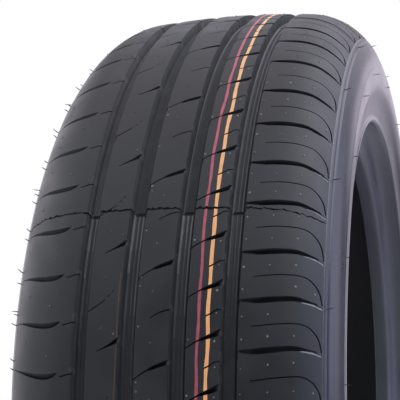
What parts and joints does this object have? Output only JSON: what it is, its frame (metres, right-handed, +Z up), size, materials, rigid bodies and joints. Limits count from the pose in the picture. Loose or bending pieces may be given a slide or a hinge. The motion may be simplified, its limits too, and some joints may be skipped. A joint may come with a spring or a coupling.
{
  "type": "car tyre",
  "caption": "Radial road tyre for a passenger car: a hollow rubber ring with grooved asymmetric tread, rounded sidewalls and beads that seat on a wheel rim.",
  "frame": {"origin": "centre of the wheel: on the spin axis, midway between the two beads", "axes": "+Y along the spin axis, towards the sidewall on the right of the picture; +Z up as the tyre stands; +X towards the tread that faces the viewer"},
  "size_m": [0.632, 0.2144, 0.632],
  "materials": {
    "tyre": "matt dark grey rubber"
  },
  "bodies": {
    "root": {"tyre": "tyre"}
  },
  "joints": []
}
